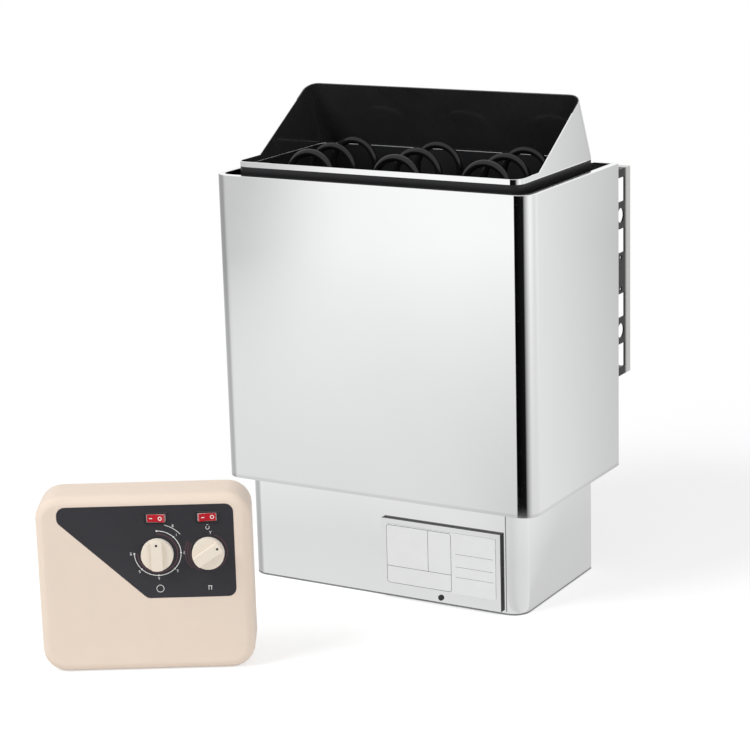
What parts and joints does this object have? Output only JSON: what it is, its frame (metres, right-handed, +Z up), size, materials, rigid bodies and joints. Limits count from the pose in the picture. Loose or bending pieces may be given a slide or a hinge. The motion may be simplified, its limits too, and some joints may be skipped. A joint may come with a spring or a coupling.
{
  "type": "sauna heater stove",
  "caption": "Wall-hung electric sauna stove of polished sheet steel: looped elements in an open stone box, a leaning steam guard, a wall bracket and a separate control unit.",
  "frame": {"origin": "on the floor plane under the middle of the casing, on the bottom plate", "axes": "+Z up, +Y towards the wall, +X to the right as seen from the front"},
  "size_m": [0.4382, 0.6384, 0.575],
  "materials": {
    "polished_steel": "polished stainless sheet",
    "dark_steel": "dark heat-proof sheet",
    "galvanised_steel": "dull galvanised sheet",
    "element_steel": "dark oxidised tube",
    "plain_steel": "plain steel",
    "brass": "plain brass",
    "ceramic": "white ceramic, stood in for by a dense plastic",
    "label": "blank silver film",
    "beige_plastic": "fine-grained beige plastic",
    "cream_plastic": "smooth cream plastic",
    "dark_plastic": "dark grey printed film",
    "black_plastic": "black plastic",
    "red_plastic": "clear red plastic",
    "white_plastic": "white plastic",
    "brown_wire": "brown wire cover",
    "blue_wire": "blue wire cover"
  },
  "bodies": {
    "stove_and_unit": {"back_panel": "galvanised_steel", "base_box": "polished_steel", "bottom_plate": "galvanised_steel", "cable_gland": "black_plastic", "control_back": "beige_plastic", "control_contactor": "white_plastic", "control_cover": "beige_plastic", "control_cover_screw_left": "plain_steel", "control_cover_screw_right": "plain_steel", "control_fascia": "dark_plastic", "control_grommet": "black_plastic", "control_heater_switch": "black_plastic", "control_light_switch": "black_plastic", "control_terminal_strip": "white_plastic", "control_thermostat_body": "white_plastic", "control_timer_body": "white_plastic", "cover_screw": "plain_steel", "earth_stud": "brass", "element_bush_centre_front": "brass", "element_bush_centre_rear": "brass", "element_bush_left_front": "brass", "element_bush_left_rear": "brass", "element_bush_right_front": "brass", "element_bush_right_rear": "brass", "element_plate": "galvanised_steel", "element_terminal_centre_front": "ceramic", "element_terminal_centre_rear": "ceramic", "element_terminal_left_front": "ceramic", "element_terminal_left_rear": "ceramic", "element_terminal_right_front": "ceramic", "element_terminal_right_rear": "ceramic", "hanger_hook_left": "galvanised_steel", "hanger_hook_right": "galvanised_steel", "heating_element_centre": "element_steel", "heating_element_left": "element_steel", "heating_element_right": "element_steel", "neutral_bar": "brass", "neutral_wire": "blue_wire", "outer_casing": "polished_steel", "phase_wire_centre": "brown_wire", "phase_wire_left": "brown_wire", "phase_wire_right": "brown_wire", "rating_plate": "label", "rear_spacer_lower": "galvanised_steel", "rear_spacer_upper": "galvanised_steel", "side_spacer_left": "galvanised_steel", "side_spacer_right": "galvanised_steel", "steam_guard": "polished_steel", "stone_compartment": "dark_steel", "stone_grate": "dark_steel", "terminal_block": "ceramic", "terminal_cover": "polished_steel", "wall_bracket": "galvanised_steel"},
    "timer_dial": {"control_timer_knob": "cream_plastic", "control_timer_shaft": "plain_steel"},
    "thermostat_dial": {"control_thermostat_knob": "cream_plastic", "control_thermostat_shaft": "plain_steel"},
    "heater_rocker": {"control_heater_rocker": "red_plastic"},
    "light_rocker": {"control_light_rocker": "red_plastic"}
  },
  "joints": [
    {"name": "timer_turn", "type": "hinge", "parent": "stove_and_unit", "child": "timer_dial", "pos_m": [-0.09561, -0.4161, 0.134], "axis": [-0.5, 0.866, 0], "range_deg": [0, 270]},
    {"name": "thermostat_turn", "type": "hinge", "parent": "stove_and_unit", "child": "thermostat_dial", "pos_m": [-0.04841, -0.38885, 0.134], "axis": [-0.5, 0.866, 0], "range_deg": [0, 240]},
    {"name": "heater_switch", "type": "hinge", "parent": "stove_and_unit", "child": "heater_rocker", "pos_m": [-0.09666, -0.41428, 0.1735], "axis": [0, 0, 1], "range_deg": [0, 16]},
    {"name": "light_switch", "type": "hinge", "parent": "stove_and_unit", "child": "light_rocker", "pos_m": [-0.04946, -0.38703, 0.1735], "axis": [0, 0, 1], "range_deg": [-16, 0]}
  ]
}
